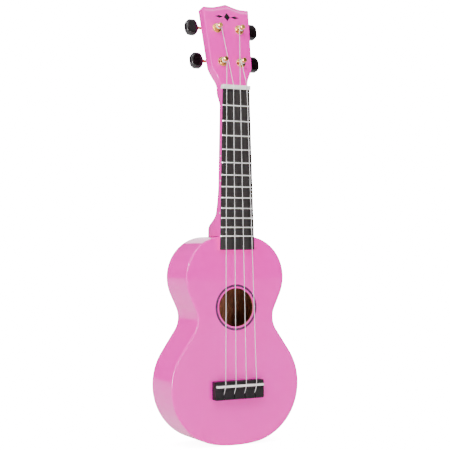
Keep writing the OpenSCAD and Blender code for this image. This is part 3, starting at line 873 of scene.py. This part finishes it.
# Lengths in metres
DOME_R = 7.0
FLOOR_GAP = 0.0005
# How far from the object the painted contact shadow on the floor reaches
PAINTED_SHADOW_REACH = 0.03
MIDDLE = (0, 0, -0.2)

# Brightness: what the camera sees as white, the dimmer white of the painted contact shadow close under
# the object, the floor's glow on the object, the sky by height, the lights and the panels
WHITE = 18.0
PAINTED_SHADOW_WHITE = 0.6 * WHITE
BOUNCE = 0.15
SKY_LOW, SKY_HIGH = 0.42, 0.85
SKY_DIM, SKY_BRIGHT = 0.22, 1.5
LEFT_POWER, KEY_POWER, FRONT_POWER = 16.0, 37.0, 14.0
RIM_GLOW, BACK_GLOW, HIGH_GLOW = 80.0, 1.8, 5.0


def camera():
    az, el, roll = (math.radians(a) for a in (CAMERA_AZIMUTH, CAMERA_ELEVATION, CAMERA_ROLL))
    back = Vector((math.sin(az) * math.cos(el), -math.cos(az) * math.cos(el), math.sin(el)))
    right = (-back).cross(Vector((0, 0, 1))).normalized()
    up = back.cross(right)
    turned_right = right * math.cos(roll) + up * math.sin(roll)
    turned_up = up * math.cos(roll) - right * math.sin(roll)
    data = bpy.data.cameras.new("camera")
    data.lens = CAMERA_LENS
    data.sensor_width = 36.0
    obj = bpy.data.objects.new("camera", data)
    rotation = Matrix((turned_right, turned_up, back)).transposed()
    obj.matrix_world = Matrix.Translation(CAMERA_TARGET + back * CAMERA_DISTANCE) @ rotation.to_4x4()
    bpy.context.scene.collection.objects.link(obj)
    bpy.context.scene.camera = obj


def facing(place):
    """The turn that points an object's -Z from place to the middle of the instrument."""
    return (Vector(MIDDLE) - Vector(place)).to_track_quat("-Z", "Y")


def area_light(name, place, size, power):
    data = bpy.data.lights.new(name, "AREA")
    data.shape = "RECTANGLE"
    data.size, data.size_y = size
    data.energy = power
    obj = bpy.data.objects.new(name, data)
    obj.location = place
    obj.rotation_mode = "QUATERNION"
    obj.rotation_quaternion = facing(place)
    bpy.context.scene.collection.objects.link(obj)


def stage_piece(name, verts, faces, material, camera=False, diffuse=False, glossy=False):
    """Part of the studio, which only the named kinds of ray see."""
    mesh = bpy.data.meshes.new(name)
    mesh.from_pydata(verts, [], faces)
    mesh.materials.append(material)
    mesh.shade_smooth()
    obj = bpy.data.objects.new(name, mesh)
    bpy.context.scene.collection.objects.link(obj)
    obj.visible_camera, obj.visible_diffuse, obj.visible_glossy = camera, diffuse, glossy
    obj.visible_transmission = obj.visible_shadow = diffuse


def mirror_panel(name, place, size, material):
    """A panel that shows only in the object's gloss, turned to face it."""
    turn = facing(place)
    half_w, half_h = size[0] / 2, size[1] / 2
    corners = [(-half_w, -half_h, 0), (half_w, -half_h, 0), (half_w, half_h, 0), (-half_w, half_h, 0)]
    verts = [tuple(Vector(place) + turn @ Vector(c)) for c in corners]
    stage_piece(name, verts, [(0, 1, 2, 3)], material, glossy=True)


def floor_square(size, z):
    return [(-size, -size, z), (size, -size, z), (size, size, z), (-size, size, z)], [(0, 1, 2, 3)]


def glowing(name, glow, painted_shadow_glow=None):
    """A pale matt surface that also glows. Given a lower glow, it dims to that close under the object by
    ambient occlusion: a painted contact shadow.
    """
    m = Nodes(name)
    m.set(colour=m.ramp(m.noise(3.0), [(0.3, (0.93, 0.93, 0.93)), (0.7, (0.95, 0.95, 0.95))]), rough=0.9)
    m.shader.inputs["Emission Color"].default_value = (1, 1, 1, 1)
    if painted_shadow_glow is None:
        m.shader.inputs["Emission Strength"].default_value = glow
    else:
        # Ambient occlusion dims the glow close under the object: a painted contact shadow
        painted_shadow = m.new("AmbientOcclusion", Distance=PAINTED_SHADOW_REACH, samples=8)
        m.link(m.span(painted_shadow.outputs["AO"], painted_shadow_glow, glow), m.shader.inputs["Emission Strength"])
    return m.material


def black_cloth():
    m = Nodes("black_cloth")
    weave = m.noise(400.0)
    colour = m.ramp(weave, [(0.3, (0.004, 0.004, 0.004)), (0.7, (0.008, 0.008, 0.008))])
    return m.set(colour=colour, rough=0.95, specular=0.0)


def sky():
    """Soft light from all round: dim level with the object, so that its gloss shows, and bright above."""
    world = bpy.data.worlds.new("studio")
    world.use_nodes = True
    tree = world.node_tree
    background = tree.nodes["Background"]
    background.inputs["Color"].default_value = (1, 1, 1, 1)
    split = tree.nodes.new("ShaderNodeSeparateXYZ")
    tree.links.new(tree.nodes.new("ShaderNodeTexCoord").outputs["Generated"], split.inputs[0])
    height = tree.nodes.new("ShaderNodeMapRange")
    for socket, value in (("From Min", SKY_LOW), ("From Max", SKY_HIGH),
                          ("To Min", SKY_DIM), ("To Max", SKY_BRIGHT)):
        height.inputs[socket].default_value = value
    tree.links.new(split.outputs["Z"], height.inputs["Value"])
    tree.links.new(height.outputs["Result"], background.inputs["Strength"])
    bpy.context.scene.world = world


def backdrop():
    """A white dome all round, which only the camera sees."""
    bm = bmesh.new()
    bmesh.ops.create_uvsphere(bm, u_segments=48, v_segments=24, radius=DOME_R)
    verts = [tuple(v.co) for v in bm.verts]
    faces = [tuple(v.index for v in f.verts) for f in bm.faces]
    bm.free()
    stage_piece("backdrop", verts, faces, glowing("white_backdrop", WHITE), camera=True)


def studio():
    """The sky, the floor, and the panels and lights, each with its place and its width and height."""
    sky()
    backdrop()
    floor_z = cad_box[0].z
    # The floor's glow dims close under the object, a painted contact shadow
    stage_piece("floor", *floor_square(DOME_R, floor_z), glowing("white_floor", WHITE, PAINTED_SHADOW_WHITE),
                camera=True)
    stage_piece("floor_bounce", *floor_square(DOME_R, floor_z - FLOOR_GAP), glowing("pale_floor", BOUNCE),
                diffuse=True, glossy=True)
    mirror_panel("rim_strip", (-1.45, -0.75, -0.25), (0.26, 1.9), glowing("rim_glow", RIM_GLOW))
    mirror_panel("back_panel", (2.0, 3.0, 0.6), (3.0, 1.8), glowing("back_glow", BACK_GLOW))
    mirror_panel("high_panel", (1.2, -1.9, 2.2), (2.4, 0.8), glowing("high_glow", HIGH_GLOW))
    mirror_panel("black_flag", (0.91, -1.79, 0.6), (1.3, 1.3), black_cloth())
    area_light("left_fill", (-1.6, -0.2, 0.5), (1.0, 1.0), LEFT_POWER)
    area_light("front_fill", (0.1, -2.3, 0.05), (0.5, 0.5), FRONT_POWER)
    area_light("high_key", (-1.1, -1.3, 1.7), (1.2, 0.9), KEY_POWER)


# ---------- Making the scene ----------

camera()
studio()
soundboard()
back_plate()
side("side_left", -1)
side("side_right", 1)
rosette()
neck_and_headstock()
fingerboard()
frets()
nut()
saddle()
tuners()
small_parts()
inside_wood()
